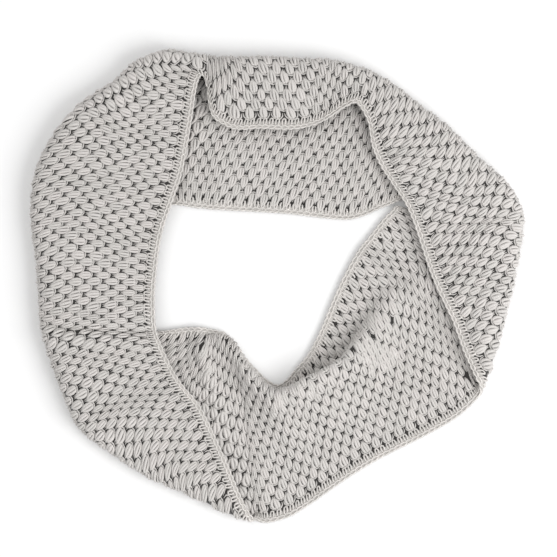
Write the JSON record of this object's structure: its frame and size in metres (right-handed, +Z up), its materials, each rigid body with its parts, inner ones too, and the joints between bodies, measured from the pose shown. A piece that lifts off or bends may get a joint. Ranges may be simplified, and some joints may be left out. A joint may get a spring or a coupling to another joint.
{
  "type": "infinity scarf",
  "caption": "Wide crocheted infinity scarf in puffy bean stitch, folded along its length and laid as a ring, with one stretch lying open",
  "frame": {"origin": "bottom centre of the whole object's box, on the surface that the scarf lies on", "axes": "+Z up, +X to the right and +Y to the top as the scarf is seen from above"},
  "size_m": [0.492, 0.474, 0.0321],
  "materials": {
    "wool": "soft matt crocheted wool, warm light grey",
    "edging_wool": "soft matt single crochet and chain edging, warm light grey"
  },
  "bodies": {
    "root": {"band": "wool", "upper_edging": "edging_wool", "lower_edging": "edging_wool"}
  },
  "joints": []
}
